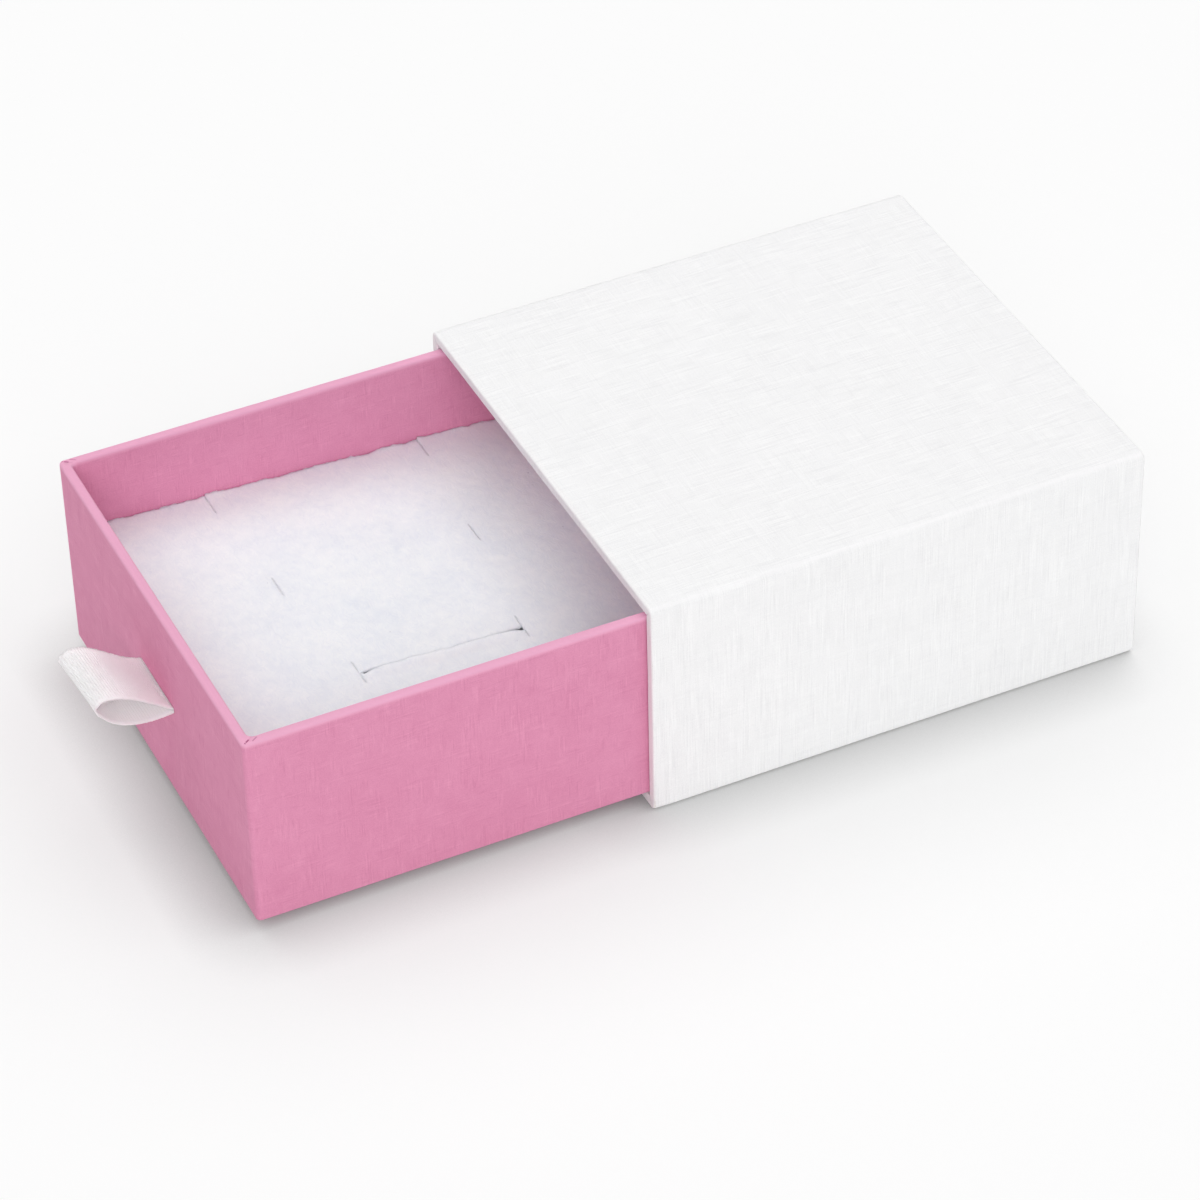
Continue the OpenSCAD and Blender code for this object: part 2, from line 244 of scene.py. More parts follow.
def linen_group():
    """Linen embossing: short pressed strokes along the axes of each flat side, in loose patches.

    Stroke and Line are a stroke's length and width. Cross is how strong the level strokes are beside the
    upright ones, Bare how much stays smooth, and Upright how strong it all is on upright sides.
    """
    values = ("Cross", "Bare", "Upright", "Stroke", "Line")
    tree, given, result = new_group(
        "linen_emboss",
        [("Position", "Vector"), ("Normal", "Vector"), *((value, "Float") for value in values)],
        [("Height", "Float")],
    )
    squares = add(tree, "VectorMath", {0: given["Normal"], 1: given["Normal"]}, operation="MULTIPLY")
    facing = add(tree, "SeparateXYZ", {0: squares.outputs[0]}).outputs
    on_top = calc(tree, "MULTIPLY_ADD", facing["Z"], -LINEN_TOP_FADE, 1.0)
    total = 0.0
    for axis, (name, strength) in enumerate(zip("XYZ", (1.0, on_top, given["Cross"]))):
        lines, shown = linen_strokes(tree, given, axis)
        turned = calc(tree, "SUBTRACT", 1.0, facing[name])
        share = calc(tree, "MULTIPLY", calc(tree, "MULTIPLY", shown, turned), strength)
        total = calc(tree, "MULTIPLY_ADD", lines, share, total)
    grain_place = stretched(tree, given["Position"], (LINEN_GRAIN,) * 3)
    grain = swing(tree, cloudy(tree, grain_place, detail=1.0), LINEN_GRAIN_GAIN)
    total = calc(tree, "MULTIPLY_ADD", grain, LINEN_GRAIN_SHARE, total)
    lost = calc(tree, "SUBTRACT", 1.0, given["Upright"])
    strength = calc(tree, "MULTIPLY_ADD", facing["Z"], lost, given["Upright"])
    tree.links.new(calc(tree, "MULTIPLY", total, strength), result.inputs["Height"])
    return tree


def mottle_group():
    """Slow, soft unevenness of a tone, from about -1 to 1."""
    tree, given, result = new_group(
        "mottle", [("Position", "Vector"), ("Size", "Float")], [("Tone", "Float")]
    )
    scale = calc(tree, "DIVIDE", 1.0, given["Size"])
    spots = add(tree, "TexNoise", {"Vector": given["Position"], "Scale": scale, "Detail": 3.0}).outputs[0]
    centred = calc(tree, "MULTIPLY_ADD", spots, MOTTLE_GAIN, -MOTTLE_GAIN / 2)
    tree.links.new(centred, result.inputs["Tone"])
    return tree


LINEN = linen_group()
MOTTLE = mottle_group()

# ---- Materials ----

SLOW_CLOUD = 14 * MM
FINE_CLOUD = 3 * MM
PAPER_ROUGHNESS = 0.6
PRESSED_GLOSS = 0.1
FLECKS_PER_METRE = 1400.0
CELLS_PER_METRE = 2200.0


def toned(tree, light, dark, share):
    """A colour that moves between a dark and a light tone as share goes from -1 to 1."""
    factor = calc(tree, "MULTIPLY_ADD", share, 0.5, 0.5)
    clear = add(tree, "Clamp", {0: factor}).outputs[0]
    return blended(tree, clear, dark, light)


def mottled(tree, place, size):
    """The mottle group's tone, with patches of a size in metres."""
    return place_group(tree, MOTTLE, {"Position": place["Object"], "Size": size})["Tone"]


def linen_material(
    name, light, dark, edge, crease_shade, rim, reach, flat, strokes, depth, cross, bare, upright, stroke, line,
    clouds, gloss
):
    """Linen-embossed covering paper.

    light and dark are its tones, and edge that of its top edge, which is partly worn and partly a painted
    highlight. crease is the painted shade deep in its folds and their gaps. rim is how high that edge lies,
    reach how far down the wear and painted highlight go, and flat how much of them level paper there takes.
    strokes is how strongly the embossing shows, and depth how deep it is. cross, bare, upright, stroke and
    line are the linen group's values. clouds is how uneven the tone is, and gloss how much the paper shines.
    """
    material, tree, shader, place = new_material(name, roughness=PAPER_ROUGHNESS, specular=gloss)
    inputs = {
        "Position": place["Object"], "Normal": place["Normal"], "Cross": cross, "Bare": bare,
        "Upright": upright, "Stroke": stroke, "Line": line,
    }
    linen = place_group(tree, LINEN, inputs)["Height"]
    slow = calc(tree, "MULTIPLY", mottled(tree, place, SLOW_CLOUD), clouds)
    tone = calc(tree, "MULTIPLY_ADD", mottled(tree, place, FINE_CLOUD), clouds, slow)
    tone = calc(tree, "MULTIPLY_ADD", linen, strokes, tone)
    height = add(tree, "SeparateXYZ", {0: place["Object"]}).outputs["Z"]
    # Edge colour near the top: partly wear and partly a painted highlight, fullest on rounded and upright
    # faces
    edge_wear_and_highlight = eased(tree, height, rim - reach, rim - reach / 6)
    upward = add(tree, "SeparateXYZ", {0: place["Normal"]}).outputs["Z"]
    level = calc(tree, "POWER", calc(tree, "ABSOLUTE", upward), 4)
    turning = calc(tree, "MULTIPLY_ADD", level, flat - 1, 1.0)
    base = toned(tree, light, dark, tone)
    base = blended(tree, calc(tree, "MULTIPLY", edge_wear_and_highlight, turning), base, edge)
    # The fold attribute carries painted shade in folds and their gaps
    fold = add(tree, "Attribute", attribute_name="fold").outputs["Fac"]
    base = blended(tree, fold, base, crease_shade)
    tree.links.new(base, shader.inputs["Base Color"])
    rough = calc(tree, "MULTIPLY_ADD", linen, -PRESSED_GLOSS, PAPER_ROUGHNESS)
    tree.links.new(rough, shader.inputs["Roughness"])
    relief(tree, shader, linen, depth)
    return material


def lining_material():
    """Plain lining paper with a faint fibre grain."""
    material, tree, shader, place = new_material("lining_paper", roughness=0.75, specular=0.3)
    fibre_size = (1.8 * MM, 0.5 * MM, 0.5 * MM)
    fibre = cloudy(tree, stretched(tree, place["Object"], fibre_size), detail=4.0)
    tone = calc(tree, "MULTIPLY_ADD", fibre, 2.0, -1.0)
    base = toned(tree, light=rgb(243, 242, 243), dark=rgb(234, 232, 234), share=tone)
    tree.links.new(base, shader.inputs["Base Color"])
    relief(tree, shader, fibre, depth=0.01 * MM)
    return material


def greyboard_material():
    """Recycled greyboard: warm grey pulp with paler and darker flecks."""
    material, tree, shader, place = new_material("greyboard", roughness=0.9, specular=0.2)
    pulp = mottled(tree, place, size=1.2 * MM)
    spots = add(tree, "TexVoronoi", {"Vector": place["Object"], "Scale": FLECKS_PER_METRE}).outputs[0]
    flecks = eased(tree, spots, 0.1, 0.5)
    tone = calc(tree, "MULTIPLY_ADD", flecks, 0.8, calc(tree, "SUBTRACT", pulp, 0.5))
    base = toned(tree, light=rgb(178, 170, 158), dark=rgb(132, 124, 114), share=tone)
    tree.links.new(base, shader.inputs["Base Color"])
    relief(tree, shader, pulp, depth=0.03 * MM)
    return material


def tape_material():
    """Kraft joining tape with long fibres."""
    material, tree, shader, place = new_material("joint_tape", roughness=0.7, specular=0.3)
    fibre_size = (0.6 * MM, 4 * MM, 4 * MM)
    fibre = cloudy(tree, stretched(tree, place["Object"], fibre_size), detail=3.0)
    tone = calc(tree, "MULTIPLY_ADD", fibre, 3.0, -1.5)
    base = toned(tree, light=rgb(214, 192, 158), dark=rgb(190, 164, 128), share=tone)
    tree.links.new(base, shader.inputs["Base Color"])
    relief(tree, shader, fibre, depth=0.02 * MM)
    return material


def foam_material():
    """Soft white foam with small open cells."""
    material, tree, shader, place = new_material("white_foam", roughness=0.95, specular=0.2)
    lets_light_in(shader, weight=0.6, radius=(1, 0.95, 1), scale=3 * MM)
    cells = add(tree, "TexVoronoi", {"Vector": place["Object"], "Scale": CELLS_PER_METRE}).outputs[0]
    pores = eased(tree, cells, 0.15, 0.5)
    tone = calc(tree, "MULTIPLY_ADD", pores, 2.0, -1.0)
    base = toned(tree, light=rgb(246, 245, 248), dark=rgb(226, 223, 230), share=tone)
    tree.links.new(base, shader.inputs["Base Color"])
    relief(tree, shader, pores, depth=0.1 * MM)
    return material


FLOCK_CLOUD = 8 * MM
FLOCK_TUFT = 1.8 * MM
FLOCK_STRAND = (1.6 * MM, 0.25 * MM, 1 * MM)
FLOCK_CURL = 3 * MM
CURLS_PER_METRE = 260.0
SPECK_GAP = 4.5 * MM


def curled_strands(tree, place):
    """Matted strands, as noise from 0 to 1: fine streaks bent by slow curls."""
    inputs = {"Vector": place["Object"], "Scale": CURLS_PER_METRE, "Detail": 2.0, "Distortion": 2.5}
    curl = add(tree, "TexNoise", inputs).outputs["Color"]
    curled = add(tree, "VectorMath", {0: curl, 1: (FLOCK_CURL,) * 3}, operation="MULTIPLY").outputs[0]
    bent = add(tree, "VectorMath", {0: place["Object"], 1: curled}, operation="ADD").outputs[0]
    return cloudy(tree, stretched(tree, bent, FLOCK_STRAND), detail=3.0)


def specks(tree, place):
    """1 in a few small specks, and 0 round them."""
    inputs = {"Vector": place["Object"], "Scale": 1 / SPECK_GAP, "Randomness": 1.0}
    spot = add(tree, "TexVoronoi", inputs).outputs
    near = calc(tree, "SUBTRACT", 1.0, eased(tree, spot["Distance"], 0.02, 0.035))
    chosen = eased(tree, add(tree, "SeparateColor", {0: spot["Color"]}).outputs[0], 0.45, 0.9)
    return calc(tree, "MULTIPLY", near, chosen)


def flock_material():
    """White flock: matted short fibres over soft cloudy patches, with a few darker specks."""
    material, tree, shader, place = new_material("white_flock", roughness=0.95, specular=0.15)
    lets_light_in(shader, weight=0.35, radius=(1, 1, 1), scale=1.5 * MM)
    cloud = calc(tree, "MULTIPLY", mottled(tree, place, FLOCK_CLOUD), 0.5)
    tone = calc(tree, "MULTIPLY_ADD", mottled(tree, place, FLOCK_TUFT), 0.35, cloud)
    strands = curled_strands(tree, place)
    tone = calc(tree, "MULTIPLY_ADD", calc(tree, "SUBTRACT", strands, 0.5), 2.4, tone)
    base = toned(tree, light=rgb(250, 253, 255), dark=rgb(233, 238, 247), share=tone)
    base = blended(tree, specks(tree, place), base, rgb(176, 172, 190))
    tree.links.new(base, shader.inputs["Base Color"])
    relief(tree, shader, strands, depth=0.05 * MM)
    return material


RIB_PITCH = 0.41 * MM
RIBBON_THREAD = 0.22 * MM
WOVEN_EDGE = (0.43, 0.45)


def ribbon_material(length):
    """White woven ribbon: cross ribs, fine threads along them and a firmer woven edge at each side."""
    material, tree, shader, place = new_material("white_ribbon", roughness=0.5, specular=0.5, sheen=0.9)
    lets_light_in(shader, weight=0.8, radius=(1, 0.97, 0.94), scale=1.3 * MM)
    weave = add(tree, "SeparateXYZ", {0: place["UV"]}).outputs
    width = RIBBON_HIGH.x - RIBBON_LOW.x
    thread_size = (RIBBON_THREAD / width, RIB_PITCH / length, 1)
    threads = cloudy(tree, stretched(tree, place["UV"], thread_size), detail=2.0)
    from_middle = calc(tree, "ABSOLUTE", calc(tree, "SUBTRACT", weave["X"], 0.5))
    border = eased(tree, from_middle, *WOVEN_EDGE)
    turns = calc(tree, "MULTIPLY", weave["Y"], -2 * math.pi * length / RIB_PITCH)
    ribs = calc(tree, "MULTIPLY", calc(tree, "SINE", turns), calc(tree, "MULTIPLY_ADD", border, -0.7, 0.9))
    tone = calc(tree, "MULTIPLY_ADD", threads, 1.6, calc(tree, "SUBTRACT", ribs, 0.4))
    tone = calc(tree, "MULTIPLY_ADD", border, 0.3, tone)
    base = toned(tree, light=rgb(255, 255, 255), dark=rgb(253, 251, 251), share=tone)
    tree.links.new(base, shader.inputs["Base Color"])
    relief(tree, shader, calc(tree, "MULTIPLY_ADD", ribs, 0.4, threads), depth=0.03 * MM)
    return material


# edge is worn paper with a painted highlight, and crease is painted shade in the folds
WHITE_LINEN = linen_material(
    "white_linen_paper", light=rgb(255, 255, 255), dark=rgb(235, 235, 236), edge=rgb(247, 246, 247),
    crease_shade=rgb(205, 198, 204), rim=SLEEVE_HIGH.z, reach=0.6 * MM, flat=0.35, strokes=0.95,
    depth=0.001 * MM, cross=0.35, bare=0.36, upright=0.62, stroke=6 * MM, line=0.17 * MM, clouds=0.12,
    gloss=0.25,
)
PINK_LINEN = linen_material(
    "pink_linen_paper", light=rgb(232, 158, 189), dark=rgb(215, 136, 169), edge=rgb(239, 176, 205),
    crease_shade=rgb(176, 92, 131), rim=DRAWER_HIGH.z, reach=1.0 * MM, flat=0.88, strokes=0.75,
    depth=0.002 * MM, cross=0.8, bare=0.44, upright=0.9, stroke=3.4 * MM, line=0.2 * MM, clouds=0.25,
    gloss=0.08,
)
LINING = lining_material()
GREYBOARD = greyboard_material()
TAPE = tape_material()
FOAM = foam_material()
FLOCK = flock_material()

# ---- Mesh helpers ----

PARALLEL = 0.999
CUT_SNAP = 1e-7
SAME_PLACE = 1e-6


def mesh_of(name, shape, material):
    """A mesh of a shape, which is then done with."""
    mesh = bpy.data.meshes.new(name)
    shape.to_mesh(mesh)
    shape.free()
    mesh.materials.append(material)
    return mesh


def placed(name, data):
    """Puts a mesh, a curve, a light or a camera in the scene."""
    thing = bpy.data.objects.new(name, data)
    bpy.context.scene.collection.objects.link(thing)
    return thing


def finished(name, shape, material, body, node):
    """Makes a piece of a shape: it rides on a body and stands for a CAD node."""
    mesh = mesh_of(name, shape, material)
    mesh.polygons.foreach_set("use_smooth", [True] * len(mesh.polygons))
    piece = placed(name, mesh)
    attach(piece, body)
    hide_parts(node)
    return piece


def thickened(piece, thickness, offset, even=True):
    """Gives a skin its thickness: offset -1 puts it all behind the face that shows."""
    modifier = piece.modifiers.new("thickness", "SOLIDIFY")
    modifier.thickness = thickness
    modifier.offset = offset
    modifier.use_even_offset = even


def evenly_lit(piece):
    """Keeps flat sides flat beside small rounded edges."""
    modifier = piece.modifiers.new("flat_sides", "WEIGHTED_NORMAL")
    modifier.weight = 100
    modifier.keep_sharp = True


def box_shape(low, high):
    """A plain box between two corners."""
    shape = bmesh.new()
    bmesh.ops.create_cube(shape, size=1)
    bmesh.ops.scale(shape, vec=high - low, verts=shape.verts)
    bmesh.ops.translate(shape, vec=(low + high) / 2, verts=shape.verts)
    return shape


def once(things):
    """Each thing once, in the order in which they come."""
    return list(dict.fromkeys(things))


def with_parts(faces):
    """Faces with their edges and corners, as a bisect takes them."""
    edges = once(edge for face in faces for edge in face.edges)
    verts = once(vert for face in faces for vert in face.verts)
    return [*faces, *edges, *verts]


def cut(shape, faces, place, way):
    """Cuts faces by a plane, and keeps both sides."""
    bmesh.ops.bisect_plane(shape, geom=with_parts(faces), plane_co=place, plane_no=way, dist=CUT_SNAP)


def edges_along(shape, way):
    """The edges that run along a way."""
    return [
        e for e in shape.edges
        if abs((e.verts[0].co - e.verts[1].co).normalized().dot(way)) > PARALLEL
    ]


def rounded(shape, edges, radius, segments):
    """Rounds edges to a radius."""
    bmesh.ops.bevel(
        shape, geom=edges, offset=radius, offset_type="OFFSET", segments=segments,
        profile=0.5, affect="EDGES", material=-1, clamp_overlap=False,
    )
    shape.normal_update()


def flat_side(shape, place, way):
    """The faces that lie in a plane and face a way."""
    shape.normal_update()
    return [
        f for f in shape.faces
        if f.normal.dot(way) > PARALLEL
        and abs((f.calc_center_median() - place).dot(way)) < SAME_PLACE
    ]


def window(shape, low, high, way):
    """Cuts a rectangle between two corners out of the flat side that it lies in, and returns its face."""
    for axis in (X, Y, Z):
        if abs(axis.dot(way)) < 0.5:
            for corner in (low, high):
                cut(shape, flat_side(shape, low, way), corner, axis)
    middle = (low + high) / 2
    return min(flat_side(shape, low, way), key=lambda f: (f.calc_center_median() - middle).length)


def pushed(shape, face, move):
    """Pushes a face in, with walls from the edge it leaves, and returns it."""
    end = bmesh.ops.extrude_discrete_faces(shape, faces=[face])["faces"][0]
    bmesh.ops.translate(shape, vec=move, verts=end.verts)
    return end


def opened(shape, face):
    """Takes a face away."""
    bmesh.ops.delete(shape, geom=[face], context="FACES")


def outline(shape, place, way, outer):
    """The edges round a flat side: those of its outside, or those of the opening in it."""
    sides = flat_side(shape, place, way)
    area = sum(f.calc_area() for f in sides)
    middle = sum((f.calc_center_median() * f.calc_area() for f in sides), Vector()) / area
    within = set(sides)
    found = []
    for edge in once(e for f in sides for e in f.edges):
        walls = [f for f in edge.link_faces if f not in within]
        if walls:
            centre = (edge.verts[0].co + edge.verts[1].co) / 2
            if ((centre - middle).dot(walls[0].normal) > 0) == outer:
                found.append(edge)
    return found


def divided(shape, low, high, step):
    """Cuts the whole shape into cells no larger than a step."""
    for axis in (X, Y, Z):
        start, end = low.dot(axis), high.dot(axis)
        count = math.ceil((end - start) / step)
        for i in range(1, count):
            cut(shape, list(shape.faces), axis * (start + (end - start) * i / count), axis)


def wavered(shape, size, height, seed):
    """Lets a skin wander inwards by up to a height, in waves of a size, as paper on board does."""
    shape.normal_update()
    moves = [
        vert.normal * height * (noise.noise(vert.co / size + Vector((seed, 0, 0))) - 1) / 2
        for vert in shape.verts
    ]
    for vert, move in zip(shape.verts, moves):
        vert.co += move


FOLD_LIP = 0.04
FOLD_MERGE = 0.004 * MM
FOLD_BEYOND = 0.05
FOLD_HEIGHT = 1 * MM


def fold_cuts(shape, start, end, into, width, gaps):
    """Cuts the faces round a fold line, along it and at the ends of its gaps."""
    middle, length = (start + end) / 2, (end - start).length
    along = (end - start).normalized()
    across = along.cross(into).normalized()

    def near():
        """The faces that the line runs over."""
        shape.normal_update()
        return [
            f for f in shape.faces
            if f.normal.dot(into) < -0.2 and any((v.co - middle).length < length for v in f.verts)
        ]

    for offset in (-width, -width / 2, width / 2, width):
        cut(shape, near(), start + across * offset, across)
    for low, high in gaps:
        for share in (low - FOLD_LIP, low, high, high + FOLD_LIP):
            cut(shape, near(), start + along * length * share, along)
    around = [v for v in shape.verts if (v.co - middle).length < length + FOLD_HEIGHT]
    bmesh.ops.remove_doubles(shape, verts=around, dist=FOLD_MERGE)


def folded(shape, start, end, into, width, depth, shade, gaps=()):
    """Presses a shaded fold line between two points into the faces round it.

    shade is how dark the line is, and gaps are pairs of its shares between which it gapes and shows dark.
    """
    along = (end - start).normalized()
    across = along.cross(into).normalized()
    fold = shape.verts.layers.float.get("fold") or shape.verts.layers.float.new("fold")
    fold_cuts(shape, start, end, into, width, gaps)
    for vert in shape.verts:
        from_start = vert.co - start
        share = from_start.dot(along) / (end - start).length
        aside = abs(from_start.dot(across)) > 0.6 * width or abs(from_start.dot(into)) > FOLD_HEIGHT
        if aside or not -FOLD_BEYOND < share < 1 + FOLD_BEYOND:
            continue
        gaping = any(low - 1e-4 < share < high + 1e-4 for low, high in gaps)
        # Painted shade along the fold, darkest where it gapes
        vert[fold] = 1.0 if gaping else max(vert[fold], shade)
        vert.co += into * depth * (2 if gaping else 1)


# ---- Sleeve ----

SLEEVE_WAVES = {"size": 11 * MM, "height": 0.05 * MM, "seed": 3}
MOUTH_WAVE = 1.6 * MM
MOUTH_WANDER = 0.05 * MM


def sleeve_shape():
    """The white wrap's skin: closed but for its mouth and the middle of its back."""
    wall = Vector((SLEEVE_WALL, 0, SLEEVE_WALL))
    margin = Vector((BACK_MARGIN, 0, BACK_MARGIN))
    front_low, front_high = SLEEVE_LOW.copy(), SLEEVE_HIGH.copy()
    front_high.y = SLEEVE_LOW.y
    back_low, back_high = SLEEVE_LOW.copy(), SLEEVE_HIGH.copy()
    back_low.y = SLEEVE_HIGH.y

    shape = box_shape(SLEEVE_LOW, SLEEVE_HIGH)
    rounded(shape, edges_along(shape, Y), SLEEVE_ROUND, segments=6)
    mouth = window(shape, front_low + wall, front_high - wall, -Y)
    opened(shape, pushed(shape, mouth, Y * TURN_IN))
    rounded(shape, outline(shape, front_low, -Y, outer=True), MOUTH_ROUND, segments=4)
    rounded(shape, outline(shape, front_low, -Y, outer=False), 0.8 * MOUTH_ROUND, segments=3)
    opened(shape, window(shape, back_low + margin, back_high - margin, Y))
    rounded(shape, outline(shape, back_low, Y, outer=True), MOUTH_ROUND, segments=3)
    divided(shape, SLEEVE_LOW, SLEEVE_HIGH, PANEL_STEP)
    return shape


def mitred(shape):
    """Presses the short mitre fold, with painted shade, at each corner of the mouth."""
    for x in (-1, 1):
        for z in (-1, 1):
            outer = Vector((x * SLEEVE_HIGH.x, SLEEVE_LOW.y, SLEEVE_HIGH.z if z > 0 else SLEEVE_LOW.z))
            inner = outer - Vector((x * SLEEVE_WALL, 0, z * SLEEVE_WALL))
            tip = outer.lerp(inner, 0.4)
            folded(shape, inner, tip, into=Y, width=0.12 * MM, depth=0.03 * MM, shade=0.5)


def sleeve_paper():
    """The white wrap: round the outside, over the mouth's edges, in at the mouth and onto the back."""
    shape = sleeve_shape()
    mitred(shape)
    wavered(shape, **SLEEVE_WAVES)
    for vert in shape.verts:
        if vert.co.y - SLEEVE_LOW.y < 2 * MOUTH_ROUND:
            inward = Vector((-vert.co.x, 0, SLEEVE_HIGH.z / 2 - vert.co.z)).normalized()
            vert.co += inward * MOUTH_WANDER * (noise.noise(vert.co / MOUTH_WAVE) + 1)
    piece = finished("sleeve_paper", shape, WHITE_LINEN, "sleeve", "sleeve_wrap")
    thickened(piece, PAPER, -1, even=False)
    evenly_lit(piece)
    return piece


# ---- Drawer ----

DRAWER_WAVES = {"size": 9 * MM, "height": 0.05 * MM, "seed": 7}
CORNER_FOLD = ((1.3 * MM, 1.85 * MM), (0.42 * MM, 0.56 * MM))
CORNER_GAPS = ((0.42, 0.8), (0.97, 1.03))
FLAP_FOLD = ((0.93 * MM, 2.44 * MM), (0.45 * MM, 1.71 * MM))


def opened_for_ribbon(shape):
    """Opens the ribbon's slot in both skins of the front."""
    middle_x = (RIBBON_LOW.x + RIBBON_HIGH.x) / 2
    half_width = (RIBBON_HIGH.x - RIBBON_LOW.x) / 2 + SLOT_CLEARANCE
    half_slot = Vector((half_width, 0, SLOT_HEIGHT / 2))
    for y, way in ((DRAWER_LOW.y, -Y), (DRAWER_LOW.y + DRAWER_WALL, Y)):
        middle = Vector((middle_x, y, SLOT_Z))
        opened(shape, window(shape, middle - half_slot, middle + half_slot, way))


def drawer_shape():
    """The pink wrap's skin: a tray with its inside walls, open at the bottom of its well."""
    wall = Vector((DRAWER_WALL, DRAWER_WALL, 0))
    rim_low, rim_high = DRAWER_LOW.copy(), DRAWER_HIGH.copy()
    rim_low.z = DRAWER_HIGH.z
    inner_low, inner_high = DRAWER_LOW + 0.9 * wall, DRAWER_HIGH - 0.9 * wall

    shape = box_shape(DRAWER_LOW, DRAWER_HIGH)
    rounded(shape, edges_along(shape, Z), DRAWER_ROUND, segments=5)
    well = window(shape, rim_low + wall, rim_high - wall, Z)
    opened(shape, pushed(shape, well, Z * (FOAM_LOW.z - DRAWER_HIGH.z)))
    inner_edges = [
        e for e in edges_along(shape, Z)
        if inner_low.x < e.verts[0].co.x < inner_high.x and inner_low.y < e.verts[0].co.y < inner_high.y
    ]
    rounded(shape, inner_edges, INNER_FOLD, segments=4)
    opened_for_ribbon(shape)
    rounded(shape, outline(shape, rim_low, Z, outer=True), RIM_ROUND, segments=4)
    rounded(shape, outline(shape, rim_low, Z, outer=False), RIM_ROUND, segments=4)
    rounded(shape, outline(shape, DRAWER_LOW, -Z, outer=True), FOOT_ROUND, segments=3)
    divided(shape, DRAWER_LOW, DRAWER_HIGH, PANEL_STEP)
    return shape


def corner_folded(shape):
    """Presses the rim's corner folds with painted shade: a mitre with a torn gap, and the edge of a flap."""
    for x in (-1, 1):
        for y, side in ((DRAWER_LOW.y, -1), (DRAWER_HIGH.y, 1)):
            corner = Vector((x * DRAWER_HIGH.x, y, DRAWER_HIGH.z))
            inner, tip = (corner - Vector((x * in_x, side * in_y, 0)) for in_x, in_y in CORNER_FOLD)
            folded(shape, inner, tip, -Z, width=0.15 * MM, depth=0.04 * MM, shade=0.15, gaps=CORNER_GAPS)
            inner, tip = (corner - Vector((x * in_x, side * in_y, 0)) for in_x, in_y in FLAP_FOLD)
            folded(shape, inner, tip, -Z, width=0.12 * MM, depth=0.03 * MM, shade=0.55)


def drawer_paper():
    """The pink wrap: under the base, up the outside, over the rim and down the inside."""
    shape = drawer_shape()
    corner_folded(shape)
    wavered(shape, **DRAWER_WAVES)
    piece = finished("drawer_paper", shape, PINK_LINEN, "drawer", "drawer_wrap")
    thickened(piece, PAPER, -1, even=False)
    evenly_lit(piece)
    return piece


# ---- Pad ----

PAD_MIDDLE_Y = (FLOCK_LOW.y + FLOCK_HIGH.y) / 2
PAD_RISE = 3 * MM
PAD_ROUND = 0.6 * MM
FLOCK_CELL = 0.34 * MM

# Heights and sizes of the flock's waves and tufts, and of its ragged hem
FLOCK_WAVES = (
    (0.18 * MM, 15 * MM), (0.08 * MM, 5 * MM), (0.05 * MM, 1.9 * MM), (0.03 * MM, 0.8 * MM),
)
HEM_WAVES = ((0.35 * MM, 2.2 * MM), (0.2 * MM, 0.7 * MM))
HEM_DROP = 0.04 * MM
HEM_REACH = 0.4 * MM
HEM_SPREAD = 0.1 * MM

# The slits' lips: how far they part, rise and dip, and how far that reaches
SMALL_SLIT_OPENING = 0.012 * MM
EDGE_SLIT_OPENING = 0.006 * MM
SLIT_END = 1.2
PARTING_REACH = 1.5 * MM
LIP_RISE = 0.12 * MM
LIP_REACH = 0.9 * MM
LIP_DIP_REACH = 0.2 * MM
WALL_LIP_RISE = 0.4 * MM
WALL_LIP_REACH = 1.1 * MM
WALL_LIP_LENGTH = 1.2 * MM

# The long slot's lips: the one towards +X comes first
LONG_SLOT_HALF = (LONG_SLOT_LENGTH - CUT_WIDTH) / 2
LONG_SLOT_REACH = CROSS_CUT_LENGTH / 2
LONG_SLOT_GAPING = (0.6 * MM, 0.15 * MM)
LONG_SLOT_SWELL = (0.5 * MM, 0.25 * MM)
LONG_SLOT_PARTING = 0.03 * MM
LONG_SLOT_WANDER = 0.2 * MM
LONG_SLOT_WAVE = 2.5 * MM
LONG_SLOT_BOW = 0.35 * MM
LONG_SLOT_ROLL = (0.3 * MM, 0.35 * MM)
LONG_SLOT_DIP = 0.25 * MM


def pad_slits():
    """Every cut in the pad: its middle, the way it runs, its length and how far each lip stands back."""
    slits = []
    for side in (-1, 1):
        small = Vector((SLIT_X, PAD_MIDDLE_Y + side * SLIT_SPACING / 2, 0))
        by_wall = Vector((FLOCK_LOW.x, PAD_MIDDLE_Y + side * EDGE_SLIT_SPACING / 2, 0))
        cross = Vector((LONG_SLOT_X, PAD_MIDDLE_Y + side * LONG_SLOT_HALF, 0))
        slits.append((small, X, SLIT_LENGTH, SMALL_SLIT_OPENING))
        slits.append((by_wall, X, 2 * SLIT_LENGTH, EDGE_SLIT_OPENING))
        slits.append((cross, X, CROSS_CUT_LENGTH, 0.0))
    slits.append((Vector((LONG_SLOT_X, PAD_MIDDLE_Y, 0)), Y, 2 * LONG_SLOT_HALF, 0.0))
    return slits


SLITS = pad_slits()


def rippled(spot, waves):
    """The height of a few noises of given heights and sizes at a spot."""
    return sum(height * noise.noise(spot / size) for height, size in waves)


def flock_height(x, y):
    """The flock's uneven surface, which rises towards the front."""
    back = 1 - (FLOCK_HIGH.y - y) / (FLOCK_HIGH.y - FLOCK_LOW.y)
    spot = Vector((x, y, 0))
    edge = max(0.0, min(x - FLOCK_LOW.x, FLOCK_HIGH.x - x, y - FLOCK_LOW.y, FLOCK_HIGH.y - y))
    hem = (rippled(spot, HEM_WAVES) - HEM_DROP) * math.exp(-edge / HEM_REACH)
    return FLOCK_HIGH.z - PAD_RISE * back + rippled(spot, FLOCK_WAVES) + hem


